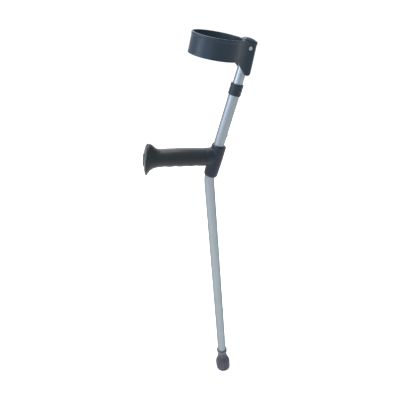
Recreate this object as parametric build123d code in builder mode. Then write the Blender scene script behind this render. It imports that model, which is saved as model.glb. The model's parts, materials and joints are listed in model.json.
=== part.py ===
"""Forearm crutch with a swivelling closed cuff, two telescopic stages and a moulded side handle.

Frame: origin at the centre of the ferrule's sole, +Z up along the lower shaft, the handle
points to -X, the upper shaft leans to +X and Y is the width. Millimetres and degrees.
"""
import os
from math import cos, radians, sin, tan

from build123d import *

# ---- driving dimensions ------------------------------------------------------------------

# main tube: one bent aluminium tube
main_outer_d = 25.0
main_wall = 1.2
bend_height = 695.0
bend_angle = 20.0
bend_radius = 100.0
upper_length = 228.5

# the two inner tubes that telescope in its ends
tube_gap = 0.3
inner_wall = 1.2

# handle: hub moulded round the bend, arm core and soft grip
hub_start = 4.5
hub_end = 84.3
hub_bottom_wall = 5.5
hub_top_wall = 3.5
hub_bottom_round = 4.0
hub_top_round = 1.5
handle_station = 54.3
handle_rise = 7.7
neck_start = 8.0
neck_reach = 6.0
neck_height = 58.0
neck_width = 30.0
neck_lift = 2.5
grip_height = 40.0
grip_width = 44.0
grip_wall = 5.0
core_end = 148.0
flare_start = 136.0
flange_station = 157.0
flange_thickness = 5.0
flange_height = 70.0
flange_width = 54.0
flange_drop = 3.0
flange_tilt = 6.0
end_dome = 5.0
end_dome_share = 0.72
plug_height = 30.0
plug_width = 24.0
plug_rim = 1.2
plug_spigot_height = 20.0
plug_spigot_width = 16.0
plug_spigot_length = 9.0

# screw that pins the hub to the main tube
screw_d = 4.5
screw_head_d = 9.0
screw_head_height = 2.6
screw_recess = 2.8
screw_length = 46.0
screw_socket_d = 4.0
screw_socket_depth = 1.6

# collars at the two ends of the main tube
upper_collar_wall = 2.0
upper_collar_length = 25.5
leg_collar_wall = 3.5
leg_collar_length = 13.0
collar_lip = 2.0
collar_round = 1.5

# height adjustment: leg below, cuff post above
leg_pitch = 25.0
cuff_pitch = 12.5
hole_count = 7
leg_row_margin = 30.0
cuff_row_margin = 25.7
leg_top_margin = 15.0
post_bottom_margin = 15.0

# snap buttons and their V springs
button_d = 7.5
button_proud = 1.4
button_flange_d = 9.6
button_flange = 1.3
button_tip_round = 1.2
spring_width = 8.0
spring_thickness = 0.8
spring_length = 36.0
spring_seat = 6.0

# bushes that guide the inner tubes in the main tube
bush_flange = 5.0
bush_spigot = 8.0
bush_bore_d = 14.0

# ferrule
ferrule_height = 66.5
ferrule_gap = 1.5
ferrule_sole_wall = 9.5
ferrule_bulb_wall = 11.0
ferrule_bulb_z = 25.0
ferrule_neck_wall = 3.2
ferrule_neck_length = 10.5
ferrule_floor = 6.0
washer_thickness = 2.0
sole_edge = 2.5
sole_groove = 2.0
sole_groove_pitch = 6.0
sole_groove_count = 2

# cuff: closed ring, channel housing and cap
post_exposed = 80.5
post_above_pivot = 6.5
cuff_droop = 5.5
ring_outer_r = 55.5
ring_wall = 3.0
ring_top = 14.5
ring_band = 41.5
web_angle = 60.0
web_blend = 20.0
cheek_gap = 0.6
housing_wall = 1.9
back_gap = 1.1
housing_back_wall = 2.9
housing_corner = 9.0
housing_headroom = 2.0
housing_bottom = -54.0
housing_foot_front = -1.5
housing_diagonal_front = -30.0
deck = 2.4
cap_height = 8.5
cap_round = 6.0
cap_inset = 0.4
window_gap = 1.0

# cuff pivot
rivet_d = 5.0
rivet_head_d = 8.0
rivet_head = 1.5
rivet_dimple_d = 3.0
rivet_dimple = 0.8
sleeve_d = 7.0

# clearances, all radial or per side
running_clearance = 0.1
fixed_clearance = 0.05
hole_clearance = 0.2
stop_clearance = 0.35
cap_clearance = 0.4

# ---- frames and derived values -----------------------------------------------------------

main_r = main_outer_d / 2
main_bore_r = main_r - main_wall
main_bottom_z = ferrule_height + ferrule_gap + collar_lip
inner_r = main_bore_r - tube_gap
inner_outer_d = 2 * inner_r
inner_bore_r = inner_r - inner_wall
button_r = button_d / 2
leg_button_z = main_bottom_z + leg_row_margin + (hole_count - 1) * leg_pitch
cuff_button_station = hub_end + cuff_row_margin
hub_bottom_d = main_outer_d + 2 * hub_bottom_wall
hub_top_d = main_outer_d + 2 * hub_top_wall
neck_end = hub_bottom_d / 2 + neck_reach
upper_collar_d = main_outer_d + 2 * upper_collar_wall
leg_collar_d = main_outer_d + 2 * leg_collar_wall
ferrule_sole_d = inner_outer_d + 2 * ferrule_sole_wall
ferrule_bulb_d = inner_outer_d + 2 * ferrule_bulb_wall
ferrule_neck_d = inner_outer_d + 2 * ferrule_neck_wall
ferrule_neck_z = ferrule_height - ferrule_neck_length

lean = radians(bend_angle)
upper_axis = Plane(
    origin=(0, 0, bend_height), x_dir=(cos(lean), 0, -sin(lean)), z_dir=(sin(lean), 0, cos(lean))
)

rise = radians(handle_rise)
handle_base = upper_axis.offset(handle_station).origin
handle_axis = Plane(origin=handle_base, x_dir=(sin(rise), 0, cos(rise)), z_dir=(-cos(rise), 0, sin(rise)))
flange_centre = handle_axis.from_local_coords((-flange_drop, 0, flange_station))
flange_plane = Plane(
    origin=flange_centre, x_dir=handle_axis.x_dir, z_dir=handle_axis.z_dir
).rotated((0, flange_tilt, 0))
plug_seat = flange_plane.offset(flange_thickness + end_dome)

# seat of the screw head: square to the upper tube, inside the hub's back wall
screw_seat = (hub_bottom_d + hub_top_d) / 4 - screw_recess
screw_plane = Plane(
    origin=upper_axis.from_local_coords((screw_seat, 0, handle_station)),
    x_dir=upper_axis.z_dir,
    z_dir=upper_axis.x_dir,
)

# At rest the cuff hangs until the lower edge of its ring bears on the front of the post.
droop = radians(cuff_droop)
cuff_lean = lean - droop
ring_back = inner_r / cos(droop) + (ring_band - ring_top) * tan(droop) + stop_clearance
ring_offset = ring_outer_r + ring_back
pivot_station = upper_length + post_exposed
pivot = upper_axis.offset(pivot_station).origin
cuff_plan = Plane(
    origin=pivot, x_dir=(cos(cuff_lean), 0, -sin(cuff_lean)), z_dir=(sin(cuff_lean), 0, cos(cuff_lean))
)
cuff_side = Plane(origin=pivot, x_dir=cuff_plan.x_dir, z_dir=(0, -1, 0))

post_bottom = cuff_button_station - post_bottom_margin
post_top = pivot_station + post_above_pivot
leg_bottom_z = ferrule_floor + washer_thickness
leg_top_z = leg_button_z + leg_top_margin
housing_inner_half = inner_r + cheek_gap
housing_half = housing_inner_half + housing_wall
housing_width = 2 * housing_half
cavity_back = inner_r + back_gap
housing_back = cavity_back + housing_back_wall
housing_top = post_above_pivot + housing_headroom
cap_front = cap_clearance - ring_back
window_front = -inner_r - window_gap


def shaft_path(start_z, end_station):
    """Centre line of the main tube from a height on the shaft to a station past the bend."""
    end = upper_axis.offset(end_station).origin
    return FilletPolyline((0, 0, start_z), (0, 0, bend_height), tuple(end), radius=bend_radius)


def save(part, name):
    """Label a finished piece and write its STEP file."""
    part.label = name
    export_step(part, "parts/" + name + ".step")


os.makedirs("parts", exist_ok=True)

# ---- main tube ---------------------------------------------------------------------------
# One length of tube, bent once, with a row of button holes in its back wall near each end
# and a hole for the hub screw at the handle.

with BuildPart() as main_tube:
    with BuildLine():
        shaft_path(main_bottom_z, upper_length)
    with BuildSketch(Plane.XY.offset(main_bottom_z)):
        Circle(main_r)
        Circle(main_bore_r, mode=Mode.SUBTRACT)
    sweep()
    with BuildSketch(Plane(origin=(0, 0, leg_button_z), x_dir=(0, 0, -1), z_dir=(1, 0, 0))):
        with Locations([(i * leg_pitch, 0) for i in range(hole_count)]):
            Circle(button_r + hole_clearance)
    extrude(amount=main_outer_d, mode=Mode.SUBTRACT)
    button_row = upper_axis.offset(cuff_button_station)
    with BuildSketch(Plane(origin=button_row.origin, x_dir=button_row.z_dir, z_dir=button_row.x_dir)):
        with Locations([(i * cuff_pitch, 0) for i in range(hole_count)]):
            Circle(button_r + hole_clearance)
    extrude(amount=main_outer_d, mode=Mode.SUBTRACT)
    with BuildSketch(Plane(origin=handle_base, x_dir=upper_axis.z_dir, z_dir=upper_axis.x_dir)):
        Circle(screw_d / 2 + fixed_clearance)
    extrude(amount=main_outer_d, both=True, mode=Mode.SUBTRACT)
save(main_tube.part, "main_tube")

# ---- handle ------------------------------------------------------------------------------
# A hard hub and arm moulded in one, a soft grip pushed over the arm, and a plug in its end.

with BuildPart() as handle_hub:
    with BuildSketch(upper_axis.offset(hub_start)):
        Circle(hub_bottom_d / 2)
    with BuildSketch(upper_axis.offset(hub_end)):
        Circle(hub_top_d / 2)
    loft()
    fillet(handle_hub.edges().sort_by(Axis.Z)[0], hub_bottom_round)
    fillet(handle_hub.edges().sort_by(Axis.Z)[-1], hub_top_round)
    with BuildSketch(handle_axis.offset(neck_start)):
        with Locations((neck_lift, 0)):
            Ellipse(neck_height / 2, neck_width / 2)
    with BuildSketch(handle_axis.offset(neck_end)):
        Ellipse(grip_height / 2, grip_width / 2)
    loft()
    with BuildSketch(handle_axis.offset(neck_end)):
        Ellipse(grip_height / 2 - grip_wall, grip_width / 2 - grip_wall)
    extrude(amount=core_end - neck_end)
    with BuildLine():
        shaft_path(bend_height - hub_bottom_d, hub_end + hub_bottom_d)
    with BuildSketch(Plane.XY.offset(bend_height - hub_bottom_d)):
        Circle(main_r + fixed_clearance)
    sweep(mode=Mode.SUBTRACT)
    with BuildSketch(screw_plane.offset(-screw_length)):
        Circle(screw_d / 2 + fixed_clearance)
    extrude(amount=screw_length, mode=Mode.SUBTRACT)
    with BuildSketch(screw_plane):
        Circle(screw_head_d / 2 + hole_clearance)
    extrude(amount=hub_bottom_d, mode=Mode.SUBTRACT)
save(handle_hub.part, "handle_hub")

with BuildPart() as grip:
    with BuildSketch(handle_axis.offset(neck_end)):
        Ellipse(grip_height / 2, grip_width / 2)
    extrude(amount=flare_start - neck_end)
    with BuildSketch(handle_axis.offset(flare_start)):
        Ellipse(grip_height / 2, grip_width / 2)
    with BuildSketch(flange_plane):
        Ellipse(flange_height / 2, flange_width / 2)
    loft()
    with BuildSketch(flange_plane):
        Ellipse(flange_height / 2, flange_width / 2)
    extrude(amount=flange_thickness)
    with BuildSketch(flange_plane.offset(flange_thickness)):
        Ellipse(flange_height / 2, flange_width / 2)
    with BuildSketch(flange_plane.offset(flange_thickness + end_dome)):
        Ellipse(end_dome_share * flange_height / 2, end_dome_share * flange_width / 2)
    loft()
    with BuildSketch(handle_axis.offset(neck_end)):
        Ellipse(
            grip_height / 2 - grip_wall + fixed_clearance, grip_width / 2 - grip_wall + fixed_clearance
        )
    extrude(amount=core_end - neck_end + fixed_clearance, mode=Mode.SUBTRACT)
    with BuildSketch(plug_seat.offset(-plug_spigot_length)):
        Ellipse(plug_spigot_height / 2 + fixed_clearance, plug_spigot_width / 2 + fixed_clearance)
    extrude(amount=plug_spigot_length, mode=Mode.SUBTRACT)
save(grip.part, "grip")

with BuildPart() as grip_end_plug:
    with BuildSketch(plug_seat):
        Ellipse(plug_height / 2, plug_width / 2)
    extrude(amount=plug_rim)
    fillet(grip_end_plug.edges().sort_by(Axis(plug_seat.origin, plug_seat.z_dir))[-1], plug_rim / 2)
    with BuildSketch(plug_seat):
        Ellipse(plug_spigot_height / 2, plug_spigot_width / 2)
    extrude(amount=-plug_spigot_length)
save(grip_end_plug.part, "grip_end_plug")

with BuildPart() as hub_screw:
    with BuildSketch(screw_plane.offset(-screw_length)):
        Circle(screw_d / 2)
    extrude(amount=screw_length)
    with BuildSketch(screw_plane):
        Circle(screw_head_d / 2)
    extrude(amount=screw_head_height)
    fillet(hub_screw.edges().sort_by(Axis(screw_plane.origin, screw_plane.z_dir))[-1], screw_head_height / 3)
    with BuildSketch(screw_plane.offset(screw_head_height - screw_socket_depth)):
        RegularPolygon(screw_socket_d / 2, 6)
    extrude(amount=screw_socket_depth, mode=Mode.SUBTRACT)
save(hub_screw.part, "hub_screw")

# ---- collars -----------------------------------------------------------------------------
# Moulded sleeves pressed on the ends of the main tube. The lip of each closes over the
# tube's end and guides the inner tube.

with BuildPart() as upper_collar:
    with BuildSketch(upper_axis.offset(upper_length + collar_lip)):
        Circle(upper_collar_d / 2)
    extrude(amount=-upper_collar_length)
    fillet(upper_collar.edges().filter_by(GeomType.CIRCLE), collar_round)
    with BuildSketch(upper_axis.offset(upper_length)):
        Circle(main_r + fixed_clearance)
    extrude(amount=-upper_collar_length, mode=Mode.SUBTRACT)
    with BuildSketch(upper_axis.offset(upper_length)):
        Circle(inner_r + running_clearance)
    extrude(amount=collar_lip, mode=Mode.SUBTRACT)
save(upper_collar.part, "upper_collar")

with BuildPart() as leg_collar:
    with BuildSketch(Plane.XY.offset(main_bottom_z - collar_lip)):
        Circle(leg_collar_d / 2)
    extrude(amount=leg_collar_length)
    fillet(leg_collar.edges().filter_by(GeomType.CIRCLE), collar_round)
    with BuildSketch(Plane.XY.offset(main_bottom_z)):
        Circle(main_r + fixed_clearance)
    extrude(amount=leg_collar_length, mode=Mode.SUBTRACT)
    with BuildSketch(Plane.XY.offset(main_bottom_z)):
        Circle(inner_r + running_clearance)
    extrude(amount=-collar_lip, mode=Mode.SUBTRACT)
save(leg_collar.part, "leg_collar")

# ---- inner tubes -------------------------------------------------------------------------
# The leg and the cuff post are straight tubes. Each has one button hole in its back wall,
# and the post has the pivot hole across its top.

with BuildPart() as leg_tube:
    with BuildSketch(Plane.XY.offset(leg_bottom_z)):
        Circle(inner_r)
        Circle(inner_bore_r, mode=Mode.SUBTRACT)
    extrude(amount=leg_top_z - leg_bottom_z)
    with BuildSketch(Plane(origin=(0, 0, leg_button_z), z_dir=(1, 0, 0))):
        Circle(button_r + running_clearance)
    extrude(amount=inner_outer_d, mode=Mode.SUBTRACT)
save(leg_tube.part, "leg_tube")

with BuildPart() as cuff_tube:
    with BuildSketch(upper_axis.offset(post_bottom)):
        Circle(inner_r)
        Circle(inner_bore_r, mode=Mode.SUBTRACT)
    extrude(amount=post_top - post_bottom)
    with BuildSketch(Plane(origin=button_row.origin, x_dir=button_row.z_dir, z_dir=button_row.x_dir)):
        Circle(button_r + running_clearance)
    extrude(amount=inner_outer_d, mode=Mode.SUBTRACT)
    with BuildSketch(cuff_side):
        Circle(sleeve_d / 2 + running_clearance)
    extrude(amount=inner_outer_d, both=True, mode=Mode.SUBTRACT)
save(cuff_tube.part, "cuff_tube")

# ---- guide bushes ------------------------------------------------------------------------
# A nylon bush plugs the hidden end of each inner tube. Its flange runs in the main tube.

for bush_name, bush_end in (
    ("leg_guide_bush", Plane.XY.offset(leg_top_z)),
    ("cuff_guide_bush", Plane(origin=upper_axis.offset(post_bottom).origin, z_dir=-upper_axis.z_dir)),
):
    with BuildPart() as guide_bush:
        with BuildSketch(bush_end):
            Circle(main_bore_r - running_clearance)
        extrude(amount=bush_flange)
        with BuildSketch(bush_end):
            Circle(inner_bore_r - fixed_clearance)
        extrude(amount=-bush_spigot)
        with BuildSketch(bush_end.offset(bush_flange)):
            Circle(bush_bore_d / 2)
        extrude(amount=-bush_flange - bush_spigot, mode=Mode.SUBTRACT)
    save(guide_bush.part, bush_name)

# ---- snap buttons ------------------------------------------------------------------------
# Each button looks out of the back of the main tube. Its flange stays inside the inner tube
# and a V-shaped strip of spring steel, folded above or below it, pushes it out.

flange_face = (inner_bore_r**2 - (button_flange_d / 2) ** 2) ** 0.5 - hole_clearance
button_back = flange_face - button_flange

for stage, button_plane in (
    ("leg", Plane(origin=(0, 0, leg_button_z), x_dir=(0, 0, -1), z_dir=(1, 0, 0))),
    ("cuff", Plane(origin=button_row.origin, x_dir=button_row.z_dir, z_dir=button_row.x_dir)),
):
    with BuildPart() as snap_button:
        with BuildSketch(button_plane.offset(button_back)):
            Circle(button_flange_d / 2)
        extrude(amount=button_flange)
        with BuildSketch(button_plane.offset(button_back)):
            Circle(button_r)
        extrude(amount=main_r + button_proud - button_back)
        button_axis = Axis(button_plane.origin, button_plane.z_dir)
        fillet(snap_button.edges().sort_by(button_axis)[-1], button_tip_round)
    save(snap_button.part, stage + "_snap_button")

    # the strip's side view: x runs along the tube away from the button, y towards its face
    strip_plane = Plane(origin=button_plane.origin, x_dir=button_plane.x_dir, z_dir=(0, 1, 0))
    near_side = strip_plane.to_local_coords(button_plane.offset(1).origin).Y
    near_y = near_side * (button_back - spring_thickness / 2 - fixed_clearance)
    far_y = -near_side * ((inner_bore_r**2 - (spring_width / 2) ** 2) ** 0.5 - spring_thickness)
    with BuildPart() as snap_spring:
        with BuildSketch(strip_plane):
            with BuildLine() as strip:
                Polyline(
                    (-spring_seat, near_y),
                    (spring_seat, near_y),
                    (spring_length, near_side),
                    (spring_length, -near_side),
                    (-spring_seat, far_y),
                )
            trace(strip.line, spring_thickness)
        extrude(amount=spring_width / 2, both=True)
    save(snap_spring.part, stage + "_button_spring")

# ---- ferrule -----------------------------------------------------------------------------
# A bell-shaped rubber foot with a steel washer under the leg tube's end.

with BuildPart() as ferrule:
    with BuildSketch(Plane.XZ):
        with BuildLine():
            Polyline(
                (0, 0),
                (ferrule_sole_d / 2 - sole_edge, 0),
                (ferrule_sole_d / 2, sole_edge),
            )
            Spline(
                (ferrule_sole_d / 2, sole_edge),
                (ferrule_bulb_d / 2, ferrule_bulb_z),
                (ferrule_neck_d / 2, ferrule_neck_z),
                tangents=[(0, 1), (0, 1)],
            )
            Polyline(
                (ferrule_neck_d / 2, ferrule_neck_z),
                (ferrule_neck_d / 2, ferrule_height),
                (0, ferrule_height),
                (0, 0),
            )
        make_face()
    revolve(axis=Axis.Z)
    with BuildSketch(Plane.XY.offset(ferrule_floor)):
        Circle(inner_r + fixed_clearance)
    extrude(amount=ferrule_height, mode=Mode.SUBTRACT)
    with BuildSketch():
        for i in range(sole_groove_count):
            groove_r = sole_groove_pitch * (i + 1)
            Circle(groove_r + sole_groove)
            Circle(groove_r, mode=Mode.SUBTRACT)
    extrude(amount=sole_groove, mode=Mode.SUBTRACT)
save(ferrule.part, "ferrule")

with BuildPart() as ferrule_washer:
    with BuildSketch(Plane.XY.offset(ferrule_floor)):
        Circle(inner_r)
    extrude(amount=washer_thickness)
save(ferrule_washer.part, "ferrule_washer")

# ---- cuff --------------------------------------------------------------------------------
# One moulding: a closed ring for the forearm, two webs that carry it to a channel housing
# behind, and the housing's skirt, which is cut away on a diagonal below the ring.

# The plan of the webs and the housing is made once and used, offset inwards, for the cavity.
web_x = -ring_offset + ring_outer_r * cos(radians(web_angle))
web_y = ring_outer_r * sin(radians(web_angle))

with BuildSketch() as housing_plan:
    with BuildLine():
        Polyline(
            (web_x, web_y),
            (-housing_half, housing_half),
            (housing_back, housing_half),
            (housing_back, -housing_half),
            (-housing_half, -housing_half),
            (web_x, -web_y),
            close=True,
        )
    make_face()
    fillet(housing_plan.vertices().group_by(Axis.X)[-1], housing_corner)
    fillet(housing_plan.vertices().group_by(Axis.X)[1], web_blend)

with BuildSketch() as cavity_plan:
    add(housing_plan.sketch)
    offset(amount=-housing_wall, kind=Kind.INTERSECTION, mode=Mode.REPLACE)
    with Locations((cavity_back, 0)):
        Rectangle(housing_width, housing_width, align=(Align.MIN, Align.CENTER), mode=Mode.SUBTRACT)

with BuildPart() as cuff_shell:
    with BuildSketch(cuff_plan.offset(housing_bottom)):
        add(housing_plan.sketch)
    extrude(amount=housing_top - housing_bottom)
    with BuildSketch(cuff_side):
        Polygon(
            (housing_foot_front, housing_bottom),
            (housing_diagonal_front, ring_top - ring_band),
            (-2 * ring_offset, ring_top - ring_band),
            (-2 * ring_offset, 2 * housing_bottom),
            (housing_foot_front, 2 * housing_bottom),
            align=None,
        )
    extrude(amount=2 * ring_outer_r, both=True, mode=Mode.SUBTRACT)
    with BuildSketch(cuff_plan.offset(housing_bottom)):
        add(cavity_plan.sketch)
    extrude(amount=housing_top - deck - housing_bottom, mode=Mode.SUBTRACT)
    with BuildSketch(cuff_plan.offset(ring_top)):
        with Locations((-ring_offset, 0)):
            Circle(ring_outer_r)
    extrude(amount=-ring_band)
    with BuildSketch(cuff_plan.offset(ring_top)):
        with Locations((-ring_offset, 0)):
            Circle(ring_outer_r - ring_wall)
    extrude(amount=-ring_band, mode=Mode.SUBTRACT)
    # the post's way up through the deck, closed above by the cap
    with BuildSketch(cuff_plan.offset(housing_top)):
        with Locations(((cavity_back + window_front) / 2, 0)):
            SlotOverall(cavity_back - window_front, 2 * housing_inner_half)
    extrude(amount=-2 * deck, mode=Mode.SUBTRACT)
    with BuildSketch(cuff_side):
        Circle(rivet_d / 2 + fixed_clearance)
    extrude(amount=housing_width, both=True, mode=Mode.SUBTRACT)
save(cuff_shell.part, "cuff_shell")

cap_length = housing_back - cap_inset - cap_front
cap_width = housing_width - 2 * cap_inset
cap_plane = Plane(
    origin=cuff_plan.from_local_coords((cap_front + cap_length / 2, 0, housing_top)),
    x_dir=cuff_plan.x_dir,
    z_dir=cuff_plan.z_dir,
)

with BuildPart() as cuff_cap:
    with BuildSketch(cap_plane):
        RectangleRounded(cap_length, cap_width, housing_corner - cap_inset)
    extrude(amount=cap_height)
    cap_top = cuff_cap.faces().sort_by(Axis(cap_plane.origin, cap_plane.z_dir))[-1]
    fillet(cap_top.edges(), cap_round)
save(cuff_cap.part, "cuff_cap")

# ---- cuff pivot --------------------------------------------------------------------------
# A tubular rivet clamps the two cheeks against a spacer sleeve, and the post turns on it.

with BuildPart() as cuff_rivet:
    with BuildSketch(cuff_side):
        Circle(rivet_d / 2)
    extrude(amount=housing_half, both=True)
    for side in (-1, 1):
        with BuildSketch(cuff_side.offset(side * housing_half)):
            Circle(rivet_head_d / 2)
        extrude(amount=side * rivet_head)
        with BuildSketch(cuff_side.offset(side * (housing_half + rivet_head))):
            Circle(rivet_dimple_d / 2)
        extrude(amount=-side * rivet_dimple, mode=Mode.SUBTRACT)
save(cuff_rivet.part, "cuff_rivet")

with BuildPart() as pivot_sleeve:
    with BuildSketch(cuff_side):
        Circle(sleeve_d / 2)
        Circle(rivet_d / 2 + fixed_clearance, mode=Mode.SUBTRACT)
    extrude(amount=housing_inner_half, both=True)
save(pivot_sleeve.part, "pivot_sleeve")
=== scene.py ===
"""Forearm crutch: the looks of each piece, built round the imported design. Shapes are in millimetres."""
import json

import bpy
import numpy as np
from mathutils import Matrix, Vector


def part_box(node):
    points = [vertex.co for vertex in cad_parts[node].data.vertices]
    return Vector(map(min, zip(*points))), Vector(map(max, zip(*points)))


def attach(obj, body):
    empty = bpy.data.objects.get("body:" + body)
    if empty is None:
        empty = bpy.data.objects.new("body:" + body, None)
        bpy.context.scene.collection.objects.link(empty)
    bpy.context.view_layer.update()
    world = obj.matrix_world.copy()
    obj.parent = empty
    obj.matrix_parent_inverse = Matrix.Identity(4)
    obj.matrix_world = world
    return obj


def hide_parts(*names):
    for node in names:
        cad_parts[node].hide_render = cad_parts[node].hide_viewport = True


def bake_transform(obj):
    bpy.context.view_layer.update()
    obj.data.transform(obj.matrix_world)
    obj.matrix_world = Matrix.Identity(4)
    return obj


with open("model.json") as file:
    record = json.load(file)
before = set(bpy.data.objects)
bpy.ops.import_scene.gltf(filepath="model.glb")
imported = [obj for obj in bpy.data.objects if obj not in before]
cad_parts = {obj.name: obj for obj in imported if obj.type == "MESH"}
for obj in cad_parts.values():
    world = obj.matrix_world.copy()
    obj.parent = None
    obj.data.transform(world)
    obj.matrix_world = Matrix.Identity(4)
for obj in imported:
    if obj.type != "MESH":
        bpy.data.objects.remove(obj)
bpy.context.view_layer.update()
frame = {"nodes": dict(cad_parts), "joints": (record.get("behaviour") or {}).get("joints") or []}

# ---- Main tube -----------------------------------------------------------------------------
# One length of 25 mm drawn aluminium tube, bent once at the handle and satin anodised. It
# shows the design's own shape, with the two rows of button holes drilled in its back.


def colour(code):
    """Linear colour of an sRGB hex value: each channel by the sRGB curve, and an alpha of one."""
    part = np.array([int(code[i:i + 2], 16) for i in (1, 3, 5)]) / 255
    linear = np.where(part <= 0.04045, part / 12.92, ((part + 0.055) / 1.055) ** 2.4)
    return (*(float(x) for x in linear), 1.0)


def add(tree, kind, inputs=None, **settings):
    """Adds a node, sets its properties, and sets or links its inputs by name or number."""
    made = tree.nodes.new(kind)
    for name, value in settings.items():
        setattr(made, name, value)
    for name, value in (inputs or {}).items():
        if isinstance(value, bpy.types.NodeSocket):
            tree.links.new(value, made.inputs[name])
        else:
            made.inputs[name].default_value = value
    return made


def surface(name, **constants):
    """A material of one Principled shader, with its constant inputs set; returns its tree and shader."""
    made = bpy.data.materials.new(name)
    made.use_nodes = True
    tree = made.node_tree
    shader = tree.nodes["Principled BSDF"]
    for key, value in constants.items():
        shader.inputs[key.replace("_", " ")].default_value = value
    return made, tree, shader


joints = {j["name"]: j for j in frame["joints"]}
up = np.array(joints["cuff_slide"]["axis"], float)
up /= np.linalg.norm(up)
across = np.array([0.0, 1.0, 0.0])
forward = np.cross(across, up)
pivot = 1000 * np.array(joints["cuff_tilt"]["pos_m"], float)
pivot_station = 309.0
bend = pivot - pivot_station * up
lean = np.arctan2(up[0], up[2])
draw_line = 0.35
draw_length = 60.0


def anodised(name, shade, light, rough):
    """Satin anodised aluminium: fine lines left by the drawing die run along both legs of the bend,
    and the oxide varies a little in tone. The eye gets a soft, stretched highlight."""
    made, tree, shader = surface(name, Metallic=1.0, Specular_Tint=colour("#8f969b"))
    place = add(tree, "ShaderNodeTexCoord")
    height = add(tree, "ShaderNodeSeparateXYZ", {0: place.outputs["Object"]})
    above = add(tree, "ShaderNodeMapRange", {
        0: height.outputs["Z"], 1: (bend[2] - 12) / 1000, 2: (bend[2] + 12) / 1000})
    lines = []
    for turn in (0.0, -lean):
        swung = add(tree, "ShaderNodeMapping", {
            0: place.outputs["Object"], 2: (0, turn, 0)}, vector_type="POINT")
        drawn = add(tree, "ShaderNodeMapping", {
            0: swung.outputs[0], 3: (1, 1, draw_line / draw_length)}, vector_type="POINT")
        lines.append(add(tree, "ShaderNodeTexNoise", {
            0: drawn.outputs[0], "Scale": 1000 / draw_line, "Detail": 3.0, "Roughness": 0.6}))
    drawn = add(tree, "ShaderNodeMix", {
        0: above.outputs[0], 2: lines[0].outputs[0], 3: lines[1].outputs[0]})
    cloud = add(tree, "ShaderNodeTexNoise", {
        0: place.outputs["Object"], "Scale": 22.0, "Detail": 4.0, "Roughness": 0.55})
    tone = add(tree, "ShaderNodeMath", {0: drawn.outputs[0], 1: cloud.outputs[0]}, operation="ADD")
    tone = add(tree, "ShaderNodeMapRange", {0: tone.outputs[0], 1: 0.6, 2: 1.4})
    paint = add(tree, "ShaderNodeMix", {
        0: tone.outputs[0], 6: colour(shade), 7: colour(light)}, data_type="RGBA")
    tree.links.new(paint.outputs[2], shader.inputs["Base Color"])
    gloss = add(tree, "ShaderNodeMapRange", {
        0: cloud.outputs[0], 1: 0.3, 2: 0.7, 3: rough - 0.05, 4: rough + 0.06})
    tree.links.new(gloss.outputs[0], shader.inputs["Roughness"])
    bump = add(tree, "ShaderNodeBump", {
        "Height": drawn.outputs[0], "Distance": 0.00004, "Strength": 0.35})
    tree.links.new(bump.outputs[0], shader.inputs["Normal"])
    return made


tube_finish = anodised("anodised_aluminium", "#73797d", "#888e92", 0.44)
frame["nodes"]["main_tube"].data.materials[0] = tube_finish

# ---- Handle hub ----------------------------------------------------------------------------
# Glass-filled polypropylene moulded in one with the handle's arm, slid over the bend and
# screwed from behind. Its arm leaves the front with small moulded fillets.


def skin(name, rows, wrap=False):
    """Mesh of a grid of points, row after row, each row a closed loop. With wrap the last row
    joins the first; without it a fan on its middle point closes each end. Faces look outward."""
    rows = np.asarray(rows, float)
    count, width = rows.shape[:2]
    index = np.arange(count * width).reshape(count, width)
    after = np.roll(index, -1, axis=1)
    below = np.roll(index, -1, axis=0) if wrap else index[1:]
    last = count if wrap else count - 1
    quads = np.stack([index[:last], after[:last], np.roll(below, -1, axis=1), below], -1).reshape(-1, 4)
    points = rows.reshape(-1, 3)
    faces = quads.tolist()
    if not wrap:
        points = np.vstack([points, rows[0].mean(0), rows[-1].mean(0)])
        start, end = count * width, count * width + 1
        faces += [[start, b, a] for a, b in zip(index[0], after[0])]
        faces += [[end, a, b] for a, b in zip(index[-1], after[-1])]
    corner = points[quads]
    middle = points.mean(0)
    swept = np.cross(corner[:, 1] - corner[:, 0], corner[:, 2] - corner[:, 0])
    swept += np.cross(corner[:, 2] - corner[:, 0], corner[:, 3] - corner[:, 0])
    if np.einsum("ij,ij->", corner[:, 0] - middle, swept) < 0:
        faces = [face[::-1] for face in faces]
    mesh = bpy.data.meshes.new(name)
    mesh.from_pydata((points / 1000).tolist(), [], [[int(i) for i in face] for face in faces])
    mesh.validate()
    piece = bpy.data.objects.new(name, mesh)
    bpy.context.scene.collection.objects.link(piece)
    return piece


def settle(piece):
    """Applies every modifier on a piece to its mesh."""
    scene = bpy.context.evaluated_depsgraph_get()
    done = bpy.data.meshes.new_from_object(piece.evaluated_get(scene))
    done.materials.clear()
    piece.modifiers.clear()
    piece.data = done
    return piece


def combine(piece, other, operation):
    """Joins another closed piece to this one, or cuts it away, by a boolean of closed meshes."""
    step = piece.modifiers.new("combine", "BOOLEAN")
    step.object, step.operation, step.solver = other, operation, "MANIFOLD"
    settle(piece)
    bpy.data.objects.remove(other)
    return piece


def smooth(piece, angle=35):
    """Smooth shading, with edges sharper than the angle in degrees left crisp."""
    piece.data.shade_smooth()
    piece.data.set_sharp_from_angle(angle=np.radians(angle))
    return piece


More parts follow.
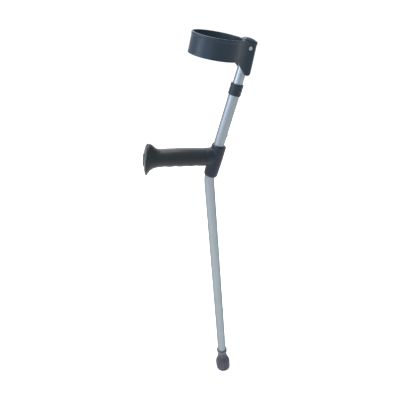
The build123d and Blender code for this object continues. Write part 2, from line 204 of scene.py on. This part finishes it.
def ease(x, knots, values):
    """Curve through the knots that never overshoots: cubic pieces, each slope the harmonic mean of
    the slopes on its two sides and zero where they differ in sign."""
    knots, values = np.array(knots, float), np.array(values, float)
    run = np.diff(knots)
    slope = np.diff(values) / run
    both, total = slope[:-1] * slope[1:], slope[:-1] + slope[1:]
    inner = np.where(both > 0, 2 * both / np.where(total == 0, 1, total), 0)
    lean_at = np.concatenate([slope[:1], inner, slope[-1:]])
    k = np.clip(np.searchsorted(knots, x, side="right") - 1, 0, len(run) - 1)
    t = (np.clip(x, knots[0], knots[-1]) - knots[k]) / run[k]
    return ((2 * t**3 - 3 * t**2 + 1) * values[k] + (t**3 - 2 * t**2 + t) * run[k] * lean_at[k]
            + (3 * t**2 - 2 * t**3) * values[k + 1] + (t**3 - t**2) * run[k] * lean_at[k + 1])


def through(keys, steps):
    """Smooth curve through key points in any number of columns, spaced by the length of its chords."""
    keys = np.array(keys, float)
    length = np.concatenate([[0], np.cumsum(np.linalg.norm(np.diff(keys, axis=0), axis=1))])
    at = np.linspace(0, length[-1], steps)
    return np.stack([ease(at, length, column) for column in keys.T], 1)


def circle(count):
    """Cosines and sines of a full turn in equal steps."""
    turn = np.linspace(0, 2 * np.pi, count, endpoint=False)
    return np.cos(turn), np.sin(turn)


def placed(local, origin, x, y, z):
    """Points given along three axes from an origin."""
    return origin + local[..., :1] * x + local[..., 1:2] * y + local[..., 2:] * z


hub_keys = [(4.5, 13.3), (5.1, 14.8), (6.6, 15.9), (9.5, 16.7), (25, 17.3), (50, 17.8), (81, 17.4),
            (83.5, 17.0), (84.2, 16.2), (84.3, 14.4)]
hub_shift_low, hub_shift_top = 2.0, 1.5
station, reach = through(hub_keys, 90).T
shift = np.interp(station, [hub_keys[0][0], hub_keys[-1][0]], [hub_shift_low, hub_shift_top])
cosine, sine = circle(96)
local = np.stack([shift[:, None] + reach[:, None] * cosine, reach[:, None] * sine,
                  station[:, None] + 0 * cosine], -1)
hub = skin("hub_moulding", placed(local, bend, forward, across, up))

handle_station = 54.3
handle_rise = np.radians(7.7)
handle_base = bend + handle_station * up
outward = np.array([-np.cos(handle_rise), 0, np.sin(handle_rise)])
upward = np.array([np.sin(handle_rise), 0, np.cos(handle_rise)])
grip_start = 24.0
neck_keys = [(-4, 26.0, 15.4), (3, 25.2, 16.7), (8, 24.2, 18.0), (13, 22.9, 19.4),
             (17.5, 22.2, 20.6), (21, 21.7, 21.5), (grip_start, 21.6, 21.9)]
along, high, wide = through(neck_keys, 40).T
local = np.stack([high[:, None] * sine, wide[:, None] * cosine, along[:, None] + 0 * cosine], -1)
neck = skin("neck", placed(local, handle_base, upward, across, outward))
combine(hub, neck, "UNION")
voxel, passes = 0.0007, 14
grain = hub.modifiers.new("moulding", "REMESH")
grain.mode, grain.voxel_size = "VOXEL", voxel
round_off = hub.modifiers.new("fillets", "SMOOTH")
round_off.factor, round_off.iterations = 0.5, passes
settle(hub)

bend_radius = 100.0


def tube_line(start, end, steps):
    """Points and directions of the main tube's centre line: straight, one arc, straight. Both ends
    are distances from the bend's corner, down the lower leg and up the upper one."""
    tangent = bend_radius * np.tan(lean / 2)
    arc = bend_radius * lean
    run = np.linspace(0, start - tangent + arc + end - tangent, steps)
    swing = np.clip((run - (start - tangent)) / bend_radius, 0, lean)
    way = np.stack([np.sin(swing), 0 * swing, np.cos(swing)], 1)
    low = np.minimum(run, start - tangent)
    high = np.maximum(run - (start - tangent) - arc, 0)
    x = bend_radius * (1 - np.cos(swing)) + high * np.sin(lean)
    z = -start + low + bend_radius * np.sin(swing) + high * np.cos(lean)
    return np.array([0, 0, bend[2]]) + np.stack([x, 0 * x, z], 1), way


bore = 12.55
cut_below, cut_above = 60, 120
line, way = tube_line(cut_below, cut_above, 60)
side = np.cross(across, way)
tool = line[:, None] + bore * (cosine[None, :, None] * side[:, None] + sine[None, :, None] * across)
combine(hub, skin("bore", tool), "DIFFERENCE")
smooth(hub)


def moulded(name, base, sheen, rough, grain_mm, depth_mm):
    """Moulded plastic with a fine spark-eroded grain from the tool: a deep, even colour, a satin
    gloss that varies slowly, and a grain that softens each highlight."""
    made, tree, shader = surface(name, IOR=1.49, Specular_IOR_Level=0.26)
    place = add(tree, "ShaderNodeTexCoord")
    fine = add(tree, "ShaderNodeTexNoise", {
        0: place.outputs["Object"], "Scale": 1000 / grain_mm, "Detail": 2.0, "Roughness": 0.5})
    broad = add(tree, "ShaderNodeTexNoise", {
        0: place.outputs["Object"], "Scale": 28.0, "Detail": 4.0, "Roughness": 0.6})
    paint = add(tree, "ShaderNodeMix", {
        0: broad.outputs[0], 6: colour(base), 7: colour(sheen)}, data_type="RGBA")
    tree.links.new(paint.outputs[2], shader.inputs["Base Color"])
    gloss = add(tree, "ShaderNodeMapRange", {
        0: broad.outputs[0], 1: 0.3, 2: 0.7, 3: rough - 0.06, 4: rough + 0.08})
    tree.links.new(gloss.outputs[0], shader.inputs["Roughness"])
    bump = add(tree, "ShaderNodeBump", {
        "Height": fine.outputs[0], "Distance": depth_mm / 1000, "Strength": 0.5})
    tree.links.new(bump.outputs[0], shader.inputs["Normal"])
    return made


hub_finish = moulded("polypropylene_moulded", "#0a131d", "#111c28", 0.42, 0.7, 0.05)
hub.data.materials.append(hub_finish)
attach(hub, "shaft")
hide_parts("handle_hub")

# ---- Grip ----------------------------------------------------------------------------------
# Soft vinyl sleeve, dipped over the arm, oval to fill the palm, with shallow finger waves
# below and a tall flared end, bowed and leaning back, that stops the hand sliding off.
# Each key is a station along the grip, then its height above, height below and half-width.

grip_keys = [
    (grip_start, 20.6, 20.6, 21.5), (24.4, 21.1, 21.2, 21.9), (40, 21.7, 21.7, 22.0),
    (80, 22.5, 22.1, 22.2), (116, 21.7, 22.0, 22.0), (130, 21.3, 21.6, 21.9),
    (137, 22.8, 21.5, 22.2), (143, 26.4, 21.8, 22.8), (148, 30.2, 22.8, 24.0),
    (152, 33.4, 25.2, 25.3), (156, 36.0, 29.6, 26.4), (160, 37.7, 35.0, 27.1),
    (163, 38.2, 38.6, 27.5), (164.8, 38.0, 39.6, 27.6), (165.8, 37.0, 38.8, 27.0),
    (166.6, 35.0, 36.8, 25.6), (167.6, 28.0, 30.0, 21.0), (168.3, 20.0, 22.0, 15.6),
    (168.6, 10.0, 12.0, 8.4)]
along, high, low, wide = through(grip_keys, 240).T
flare_start, flare_end, face = 134.0, 152.0, grip_keys[-1][0]
flare_tilt, flare_drop, flare_bow = np.radians(4.5), 3.0, 4.0
flared = ease(along, [flare_start, flare_end, face], [0, 1, 1])
wave_pitch, wave_depth, wave_start, wave_end = 24.0, 1.3, 36.0, 132.0
wave_fade = 8.0
inside = np.clip((along - wave_start) / wave_fade, 0, 1) * np.clip((wave_end - along) / wave_fade, 0, 1)
wave = wave_depth * inside * (0.5 - 0.5 * np.cos(2 * np.pi * (along - wave_start) / wave_pitch))
cosine, sine = circle(128)
rise_at = (high[:, None] * np.clip(sine, 0, 1) - low[:, None] * np.clip(-sine, 0, 1)
           + wave[:, None] * np.clip(-sine, 0, 1) ** 2)
tilt = flare_tilt * flared[:, None]
leaned_up = np.cos(tilt) * upward - np.sin(tilt) * outward
bowed = along[:, None] - flare_bow * flared[:, None] * (rise_at / high.max()) ** 2
centre = handle_base - (flare_drop * flared)[:, None] * upward
rows = (centre[:, None] + bowed[..., None] * outward + rise_at[..., None] * leaned_up[:, None]
        + (wide[:, None] * cosine)[..., None] * across)
grip = smooth(skin("grip_sleeve", rows), 60)
grip_finish = moulded("vinyl_dipped", "#0a1114", "#111b1e", 0.36, 1.1, 0.06)
grip.data.materials.append(grip_finish)
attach(grip, "shaft")
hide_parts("grip")

# ---- Grip end plug -------------------------------------------------------------------------
# A moulded oval plug pressed in the flare's face, with a turned-down edge and a shallow dish.


def arced(corners, closed=True, steps=6):
    """Outline through corners given as (x, y, radius): each corner becomes an arc of that radius,
    tangent to its two sides. An open outline keeps its two end points."""
    points = []
    corners = np.array(corners, float)
    for i, (x, y, radius) in enumerate(corners):
        here = np.array([x, y])
        if radius == 0 or not closed and i in (0, len(corners) - 1):
            points.append(here)
            continue
        back = corners[i - 1][:2] - here
        on = corners[(i + 1) % len(corners)][:2] - here
        back, on = back / np.linalg.norm(back), on / np.linalg.norm(on)
        half = np.arccos(np.clip(back @ on, -1, 1)) / 2
        middle = here + (back + on) / np.linalg.norm(back + on) * radius / np.sin(half)
        begin = here + back * radius / np.tan(half) - middle
        turn = np.pi - 2 * half
        sign = np.sign(back[0] * on[1] - back[1] * on[0])
        angle = -sign * np.linspace(0, turn, steps)
        points += [middle + (begin[0] * np.cos(a) - begin[1] * np.sin(a),
                             begin[0] * np.sin(a) + begin[1] * np.cos(a)) for a in angle]
    return np.array(points)


def turned(outline, origin, x, axis, sectors=96, oval=1.0, flute=None):
    """Outline of (radius, height) pairs turned round an axis; oval stretches one way, and flute is
    a function of angle and height that is added to the radius."""
    turn = np.linspace(0, 2 * np.pi, sectors, endpoint=False)
    radius = outline[:, :1] + (0 if flute is None else flute(turn[None], outline[:, 1:]))
    local = np.stack([radius * np.cos(turn), oval * radius * np.sin(turn),
                      outline[:, 1:] + 0 * turn], -1)
    y = np.cross(axis, x)
    return placed(local, origin, x, y, axis)


face_up = leaned_up[-1]
face_out = np.cos(flare_tilt) * outward + np.sin(flare_tilt) * upward
plug_sunk = 0.3
plug_seat = centre[-1] + (along[-1] - plug_sunk) * outward
plug_half, plug_oval, plug_rim, plug_stem, plug_deep = 15.0, 0.8, 1.2, 10.0, 3.0
plug_outline = arced([(4, -plug_deep, 0), (plug_stem, -plug_deep, 0.4), (plug_stem, 0, 0.3),
                      (plug_half, 0, 0.2), (plug_half, plug_rim, 0.6), (plug_half - 2.2, plug_rim, 0.6),
                      (plug_half - 3.2, plug_rim - 0.5, 0.5), (3, plug_rim - 0.7, 0)], closed=False)
plug = smooth(skin("end_plug", turned(plug_outline, plug_seat, face_up, face_out, oval=plug_oval)))
plug.data.materials.append(hub_finish)
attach(plug, "shaft")
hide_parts("grip_end_plug")

# ---- Hub screw -----------------------------------------------------------------------------
# A zinc-plated steel socket screw that pins the hub to the tube from behind. It shows the
# design's own shape.


def plated(name, base, shade, rough):
    """Zinc-plated steel, turned or pressed: a cool grey metal, cloudy where the plating dulled."""
    made, tree, shader = surface(name, Metallic=1.0)
    place = add(tree, "ShaderNodeTexCoord")
    cloud = add(tree, "ShaderNodeTexNoise", {
        0: place.outputs["Object"], "Scale": 420.0, "Detail": 4.0, "Roughness": 0.6})
    paint = add(tree, "ShaderNodeMix", {
        0: cloud.outputs[0], 6: colour(base), 7: colour(shade)}, data_type="RGBA")
    tree.links.new(paint.outputs[2], shader.inputs["Base Color"])
    gloss = add(tree, "ShaderNodeMapRange", {
        0: cloud.outputs[0], 1: 0.3, 2: 0.7, 3: rough - 0.08, 4: rough + 0.1})
    tree.links.new(gloss.outputs[0], shader.inputs["Roughness"])
    bump = add(tree, "ShaderNodeBump", {
        "Height": cloud.outputs[0], "Distance": 0.00003, "Strength": 0.4})
    tree.links.new(bump.outputs[0], shader.inputs["Normal"])
    return made


zinc = plated("zinc_plated_steel", "#9fa3a8", "#7d8187", 0.44)
frame["nodes"]["hub_screw"].data.materials[0] = zinc

# ---- Collars -------------------------------------------------------------------------------
# Polypropylene sleeves pressed on both ends of the main tube. Their lips close over its ends
# and guide the inner tubes; the upper one is black with two shallow grooves, the lower one grey.

collar_finish = moulded("polypropylene_collar", "#0b1520", "#13202c", 0.42, 0.6, 0.05)
tube_end, lip, inner_run, tube_fit = 228.5, 2.0, 11.1, 12.55
collar, groove, collar_length = 14.5, 14.0, 25.5
top = tube_end + lip
low = top - collar_length
upper_outline = arced([
    (inner_run, top, 0.3), (collar, top, 1.3), (collar, top - 7.0, 0.5), (groove, top - 7.6, 0.4),
    (groove, top - 9.0, 0.4), (collar, top - 9.6, 0.5), (collar, top - 16.4, 0.5),
    (groove, top - 17.0, 0.4), (groove, top - 18.4, 0.4), (collar, top - 19.0, 0.5),
    (collar, low, 1.3), (tube_fit, low, 0.3), (tube_fit, tube_end, 0.2), (inner_run, tube_end, 0.2)])
rows = turned(upper_outline, bend, forward, up)
upper_collar = smooth(skin("tube_collar_upper", rows, wrap=True))
upper_collar.data.materials.append(collar_finish)
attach(upper_collar, "shaft")
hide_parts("upper_collar")

floor_origin = np.zeros(3)
right, upright = np.array([1.0, 0, 0]), np.array([0, 0, 1.0])
low = 1000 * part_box("leg_collar")[0].z
top = 1000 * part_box("leg_collar")[1].z
foot, waist, mouth = 15.2, 15.4, 16.0
lower_outline = arced([
    (inner_run, low, 0.3), (foot, low, 0.8), (waist, low + 6, 3), (mouth, top - 2.2, 0.6),
    (mouth, top, 0.9), (tube_fit, top, 0.5), (tube_fit, low + lip, 0.2), (inner_run, low + lip, 0.2)])
rows = turned(lower_outline, floor_origin, right, upright)
leg_collar = smooth(skin("tube_collar_lower", rows, wrap=True))
lip_finish = moulded("polypropylene_grey", "#3d4345", "#4a5153", 0.50, 0.6, 0.05)
leg_collar.data.materials.append(lip_finish)
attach(leg_collar, "shaft")
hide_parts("leg_collar")

# ---- Inner tubes ---------------------------------------------------------------------------
# The leg and the cuff post, 22 mm drawn aluminium, anodised a little brighter than the main
# tube because they are handled less.

inner_finish = anodised("anodised_aluminium_inner", "#757c81", "#8e959a", 0.40)
for node in ("leg_tube", "cuff_tube"):
    frame["nodes"][node].data.materials[0] = inner_finish

# ---- Bushes and pivot sleeve ---------------------------------------------------------------
# Natural nylon turnings, hidden in the tubes and in the cuff's housing.

nylon, tree, shader = surface("nylon_turned", Roughness=0.45, IOR=1.53, Subsurface_Weight=0.12)
place = add(tree, "ShaderNodeTexCoord")
cuts = add(tree, "ShaderNodeTexNoise", {0: place.outputs["Object"], "Scale": 900.0, "Detail": 2.0})
paint = add(tree, "ShaderNodeMix", {
    0: cuts.outputs[0], 6: colour("#d8d4c6"), 7: colour("#ebe8de")}, data_type="RGBA")
tree.links.new(paint.outputs[2], shader.inputs["Base Color"])
bump = add(tree, "ShaderNodeBump", {"Height": cuts.outputs[0], "Distance": 0.00004, "Strength": 0.4})
tree.links.new(bump.outputs[0], shader.inputs["Normal"])
for node in ("leg_guide_bush", "cuff_guide_bush", "pivot_sleeve"):
    frame["nodes"][node].data.materials[0] = nylon

# ---- Snap buttons and springs --------------------------------------------------------------
# Zinc-plated buttons that lock both slides, each backed by a V of blued spring steel. A spring
# keeps the design's shape.

blued = plated("spring_steel_blued", "#4a5058", "#343a42", 0.36)
for node in ("leg_snap_button", "cuff_snap_button", "ferrule_washer"):
    frame["nodes"][node].data.materials[0] = zinc
springs = (("leg", "leg", floor_origin, right), ("cuff", "cuff_post", pivot / 1000, forward))
for stage, body, middle, reach in springs:
    node = stage + "_button_spring"
    strip = bpy.data.objects.new(stage + "_v_spring", frame["nodes"][node].data.copy())
    bpy.context.scene.collection.objects.link(strip)
    strip.data.materials[0] = blued
    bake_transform(strip)
    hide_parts(node)

# ---- Ferrule -------------------------------------------------------------------------------
# A bell-shaped foot of moulded grey rubber, pushed on the leg, fluted round its bell, with a
# plain band above the floor and ring grooves in its sole.

flute_count, flute_depth = 20, 1.8
flute_low, flute_high, low_fade, high_fade = 13.0, 60.0, 4.0, 8.0


def flutes(turn, height):
    """Grooves run up the bell: a squared raised cosine round the axis, faded at both ends."""
    fade = np.clip((height - flute_low) / low_fade, 0, 1)
    fade = fade * np.clip((flute_high - height) / high_fade, 0, 1)
    return -flute_depth * fade * (0.5 + 0.5 * np.cos(flute_count * turn)) ** 2


sole_edge, ring_groove, ferrule_top, socket, socket_floor = 19.2, 2.0, 66.5, 11.05, 7.0
sole = arced([(2.5, 0, 0), (6, 0, 0.3), (6, ring_groove, 0.5), (8, ring_groove, 0.5), (8, 0, 0.3),
              (12, 0, 0.3), (12, ring_groove, 0.5), (14, ring_groove, 0.5), (14, 0, 0.3),
              (sole_edge, 0, 0)], closed=False)
bell = through([(sole_edge, 0), (20.1, 0.6), (20.6, 2.0), (21.5, 9.0), (21.7, 10.6), (21.2, 11.6),
                (21.2, 12.6), (22.0, 18), (22.2, 24), (21.6, 30.5), (19.8, 36), (17.2, 40.5),
                (15.5, 45), (14.7, 50), (14.3, 57), (14.2, ferrule_top)], 120)
bore_wall = np.array([(socket, ferrule_top), (socket, 30), (socket, socket_floor), (4, socket_floor)])
ferrule_outline = np.vstack([sole[:-1], bell, bore_wall])
ferrule = skin("ferrule_bell", turned(ferrule_outline, floor_origin, right, upright,
                                 sectors=flute_count * 10, flute=flutes))
smooth(ferrule, 50)
rubber, tree, shader = surface("rubber_moulded", IOR=1.52, Specular_IOR_Level=0.35)
place = add(tree, "ShaderNodeTexCoord")
bloom = add(tree, "ShaderNodeTexNoise", {0: place.outputs["Object"], "Scale": 60.0, "Detail": 5.0})
pores = add(tree, "ShaderNodeTexNoise", {0: place.outputs["Object"], "Scale": 1400.0, "Detail": 2.0})
paint = add(tree, "ShaderNodeMix", {
    0: bloom.outputs[0], 6: colour("#2f3037"), 7: colour("#3e3f49")}, data_type="RGBA")
tree.links.new(paint.outputs[2], shader.inputs["Base Color"])
gloss = add(tree, "ShaderNodeMapRange", {0: bloom.outputs[0], 1: 0.3, 2: 0.7, 3: 0.62, 4: 0.8})
tree.links.new(gloss.outputs[0], shader.inputs["Roughness"])
bump = add(tree, "ShaderNodeBump", {"Height": pores.outputs[0], "Distance": 0.00006, "Strength": 0.5})
tree.links.new(bump.outputs[0], shader.inputs["Normal"])
ferrule.data.materials.append(rubber)
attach(ferrule, "leg")
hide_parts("ferrule")

# ---- Cuff ----------------------------------------------------------------------------------
# One polypropylene moulding: a closed ring with a rolled lip, two webs that sweep from it to
# a channel housing, and a deck that ties them. The housing's skirt ends on a diagonal.

cuff_lean = lean - np.radians(5.5)
back_way = np.array([np.cos(cuff_lean), 0, -np.sin(cuff_lean)])
ring_way = np.array([np.sin(cuff_lean), 0, np.cos(cuff_lean)])
ring_offset, ring_top, ring_low = 69.5, 14.5, -28.0
inner_face, band, low_band, rolled = 52.5, 54.7, 55.2, 55.5
ring_outline = arced([
    (inner_face, ring_low, 0.7), (low_band, ring_low, 0.9), (low_band, ring_low + 2.2, 0.5),
    (band, ring_low + 3.0, 0.5), (band, ring_top - 6.4, 0.8), (rolled, ring_top - 5.0, 0.8),
    (rolled, ring_top - 0.6, 1.2), (rolled - 0.9, ring_top, 0.5), (inner_face, ring_top, 0.8)])
ring_centre = pivot - ring_offset * back_way
ring_splay, ring_stretch = 0.02, 0.02


def splay(turn, height):
    """The ring's front is drawn out and opens downwards: a share of the radius, by height and angle."""
    middle = (ring_top + ring_low) / 2
    share = (middle - height) / (ring_top - middle)
    return rolled * (ring_splay * share + ring_stretch) * np.clip(-np.cos(turn), 0, 1)


cuff = skin("cuff_moulding", turned(ring_outline, ring_centre, back_way, ring_way,
                                 sectors=200, flute=splay), wrap=True)

seam_height, seam_fall = 13.2, 0.07


def seam(x):
    """Height of the joint between housing and cap, which falls a little towards the back."""
    return seam_height - seam_fall * x


wall, mid_ring, cheek, back_face = 2.0, 53.55, 12.4, 13.4
leave = np.radians(43)
embed = np.linspace(np.radians(72), leave, 16)
on_ring = np.stack([-ring_offset + mid_ring * np.cos(embed), mid_ring * np.sin(embed)], 1)
corner_x = on_ring[-1, 0] + (on_ring[-1, 1] - cheek) * np.tan(leave)
web_sweep, back_corner = 26, 8
half_plan = arced([(*on_ring[-1], 0), (corner_x, cheek, web_sweep), (back_face, cheek, back_corner),
                   (back_face, 0, 0)], closed=False, steps=16)
half_plan = np.vstack([on_ring[:-1], half_plan])


def even(points, spacing):
    """The same line with its points spaced evenly."""
    length = np.concatenate([[0], np.cumsum(np.linalg.norm(np.diff(points, axis=0), axis=1))])
    at = np.linspace(0, length[-1], int(length[-1] / spacing) + 1)
    return np.stack([np.interp(at, length, column) for column in points.T], 1)


half_plan = even(half_plan, 1.0)
plan = np.vstack([half_plan, half_plan[-2::-1] * (1, -1)])
heading = np.gradient(plan, axis=0)
normal = np.stack([heading[:, 1], -heading[:, 0]], 1)
normal /= -np.linalg.norm(normal, axis=1)[:, None]


def soften(values, reach):
    """Running mean over 2 * reach + 1 neighbours, with the ends held."""
    padded = np.pad(values, reach, mode="edge")
    return np.convolve(padded, np.ones(2 * reach + 1) / (2 * reach + 1), mode="valid")


x = plan[:, 0]
fall_from, fall_run = -34.0, 19.0
fall = np.clip((x - fall_from) / fall_run, 0, 1)
fall = fall * fall * (3 - 2 * fall)
top_edge = soften((ring_top - 0.5) * (1 - fall) + seam(x) * fall, 2)
skirt = np.array([(-60, -27.4), (-28.8, -27.4), (0.8, -56.0), (3.4, -57.2), (8, -56.8), (11.5, -54.4),
                  (13.4, -51.0)])
low_edge = soften(np.interp(x, skirt[:, 0], skirt[:, 1]), 2)
bead, bead_out, soft_edge = 4.5, 0.75, 0.7
edge_arc = np.linspace(0, np.pi / 2, 5)
outer = np.concatenate([wall / 2 - soft_edge + soft_edge * np.sin(edge_arc), np.full(7, wall / 2),
                        wall / 2 + bead_out * np.array([0, 0.1, 0.5, 0.9, 1, 1]),
                        wall / 2 + bead_out - soft_edge + soft_edge * np.cos(edge_arc)])
rise = np.linspace(0.06, 0.94, 7)
low = low_edge[:, None]
high = top_edge[:, None]
outer_z = np.concatenate([
    low + soft_edge * (1 - np.cos(edge_arc)),
    low + soft_edge + (high - bead - 1.6 - low - soft_edge) * rise,
    high - bead + np.array([-1.4, -1.0, -0.6, -0.2, 0.2, 1.5]),
    high - soft_edge * (1 - np.sin(edge_arc))], 1)
inner_x = np.concatenate([-wall / 2 + soft_edge - soft_edge * np.sin(edge_arc), np.full(7, -wall / 2),
                          -wall / 2 + soft_edge - soft_edge * np.cos(edge_arc)])
inner_z = np.concatenate([
    high - soft_edge * (1 - np.cos(edge_arc)),
    high - soft_edge - (high - low - 2 * soft_edge) * rise,
    low + soft_edge * (1 - np.sin(edge_arc))], 1)
offset = np.concatenate([outer, inner_x])[None]
level = np.concatenate([outer_z, inner_z], 1)
from_end = np.arange(len(plan))
from_end = np.minimum(from_end, from_end[::-1])
thin, thin_run = 0.75, 14
thinned = thin + (1 - thin) * np.clip(from_end / thin_run, 0, 1)
spot = plan[:, None] + (thinned[:, None] * offset)[..., None] * normal[:, None]
strip = placed(np.concatenate([spot, level[..., None]], -1), pivot, back_way, across, ring_way)
combine(cuff, skin("webs", strip), "UNION")

deck, deck_sunk, deck_half = 2.4, 2.0, 44
y = np.linspace(-deck_half, deck_half, 121)
ordered = half_plan[::-1]
reach_x = np.interp(np.abs(y), ordered[:, 1] + 1e-6 * np.arange(len(ordered)), ordered[:, 0])
ring_x = -ring_offset + np.sqrt(mid_ring**2 - y**2)
reach_x = np.maximum(reach_x, ring_x + 0.2)
corners = np.stack([ring_x, reach_x, reach_x, ring_x], 1)
levels = seam(corners) - deck_sunk - deck * np.array([1, 1, 0, 0])
plate = np.stack([corners, y[:, None] + 0 * corners, levels], -1)
combine(cuff, skin("deck", placed(plate, pivot, back_way, across, ring_way)), "UNION")

slot_front, slot_back, slot_half, slot_corner = -12.0, 12.1, 11.6, 11.5
slot = arced([(slot_front, -slot_half, slot_corner), (slot_back, -slot_half, slot_corner),
              (slot_back, slot_half, slot_corner), (slot_front, slot_half, slot_corner)], steps=16)
levels = np.array([-1.0, 20.0])
slot = np.stack([np.concatenate([slot, np.full((len(slot), 1), z)], 1) for z in levels])
combine(cuff, skin("slot", placed(slot, pivot, back_way, across, ring_way)), "DIFFERENCE")
smooth(cuff, 40)
cuff_finish = moulded("polypropylene_cuff", "#0b1823", "#132431", 0.42, 0.8, 0.05)
cuff.data.materials.append(cuff_finish)
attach(cuff, "cuff")
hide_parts("cuff_shell")

# ---- Cuff cap ------------------------------------------------------------------------------
# A snapped-in polypropylene lid with a thin brim and a low dome. Each key of its profile is a
# share of the plan, drawn in towards the crown, and a height above the seam.

cap_front, cap_back, cap_half, front_corner, cap_corner = -16.6, 14.4, 13.5, 6, 8.6
crown_x = -6.0
outline = arced([(cap_front, -cap_half, front_corner), (cap_back, -cap_half, cap_corner),
                 (cap_back, cap_half, cap_corner), (cap_front, cap_half, front_corner)], steps=14)
plan = even(np.vstack([outline, [(cap_front + front_corner, -cap_half)]]), 0.9)[:-1]
shrink, lift = through([(0.90, 0), (0.985, 0.1), (1.0, 0.4), (1.0, 0.9), (0.98, 1.4), (0.93, 1.7),
                        (0.88, 2.1), (0.78, 3.0), (0.64, 4.1), (0.46, 5.0), (0.25, 5.5),
                        (0.08, 5.6)], 48).T
centre = np.array([crown_x, 0])
rows = centre + shrink[:, None, None] * (plan - centre)
level = seam(rows[..., 0]) + lift[:, None]
cap = placed(np.concatenate([rows, level[..., None]], -1), pivot, back_way, across, ring_way)
cap = smooth(skin("cuff_lid", cap), 60)
cap.data.materials.append(cuff_finish)
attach(cap, "cuff")
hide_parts("cuff_cap")

# ---- Cuff rivet ----------------------------------------------------------------------------
# A tubular steel rivet through both cheeks, its rolled heads dished in the middle.

head, shank, proud, cheek_face, dish = 4.0, 2.5, 1.5, 13.5, 0.9
crown = cheek_face + proud
half_rivet = [(shank, cheek_face, 0.2), (head, cheek_face, 0.2), (head, crown, 0.9), (1.9, crown, 0.4),
              (1.4, crown - dish, 0.3), (0.5, crown - dish, 0)]
other_half = [(radius, -z, round_by) for radius, z, round_by in half_rivet[::-1]]
rivet_outline = arced(other_half + half_rivet, closed=False)
rivet = smooth(skin("pivot_rivet", turned(rivet_outline, pivot, back_way, across, sectors=64)))
rivet.data.materials.append(zinc)
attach(rivet, "cuff")
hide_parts("cuff_rivet")

# ---- Floor, light and camera ---------------------------------------------------------------
# A plain pale floor, a soft even room and four large soft lamps. The camera stands in front,
# a little to the left and high, and leans.

floor_size = 60.0
floor_mesh = bpy.data.meshes.new("floor")
floor_mesh.from_pydata([(-floor_size, -floor_size, 0), (floor_size, -floor_size, 0),
                        (floor_size, floor_size, 0), (-floor_size, floor_size, 0)], [], [(0, 1, 2, 3)])
floor = bpy.data.objects.new("floor", floor_mesh)
bpy.context.scene.collection.objects.link(floor)
pale, tree, shader = surface("studio_paper", Base_Color=colour("#fffdf9"), Roughness=0.9)
floor_mesh.materials.append(pale)

world = bpy.data.worlds.new("studio")
world.use_nodes = True
bpy.context.scene.world = world
room = world.node_tree.nodes["Background"]
room.inputs["Color"].default_value = colour("#f8fbff")
room.inputs["Strength"].default_value = 1.08


def lamp(name, position, target, size, power, tint):
    """A square soft lamp, in metres, aimed at a point."""
    data = bpy.data.lights.new(name, "AREA")
    data.shape, data.size, data.energy, data.color = "SQUARE", size, power, colour(tint)[:3]
    made = bpy.data.objects.new(name, data)
    bpy.context.scene.collection.objects.link(made)
    made.location = position
    made.rotation_euler = (Vector(position) - Vector(target)).to_track_quat("Z", "Y").to_euler()
    return made


lamp("side", (-2.4, -0.3, 1.6), (0, 0, 0.9), 1.2, 42, "#d6e7ff")
lamp("front", (-1.5, -1.9, 1.7), (0, 0, 0.8), 1.3, 18, "#e6f0ff")
lamp("top", (-0.4, 0.5, 2.6), (0, 0, 0.8), 1.6, 62, "#ffffff")
lamp("back", (0.3, 2.6, 2.4), (0, 0, 0.8), 1.8, 40, "#f6faff")

view = bpy.data.cameras.new("camera")
view.lens, view.sensor_width = 38.7, 36.0
camera = bpy.data.objects.new("camera", view)
bpy.context.scene.collection.objects.link(camera)
azimuth, elevation, roll = np.radians([-8.006, 30.874, -5.153])
stand = (-0.1543, -0.9077, 1.1823)
back = np.array([np.sin(azimuth) * np.cos(elevation), -np.cos(azimuth) * np.cos(elevation),
                 np.sin(elevation)])
level_x = np.array([np.cos(azimuth), np.sin(azimuth), 0])
level_y = np.cross(back, level_x)
view_x = np.cos(roll) * level_x + np.sin(roll) * level_y
view_y = -np.sin(roll) * level_x + np.cos(roll) * level_y
pose = np.eye(4)
pose[:3, 0], pose[:3, 1], pose[:3, 2] = view_x, view_y, back
pose[:3, 3] = stand
camera.matrix_world = Matrix(pose)
bpy.context.scene.camera = camera
bpy.context.scene.view_settings.view_transform = "Standard"
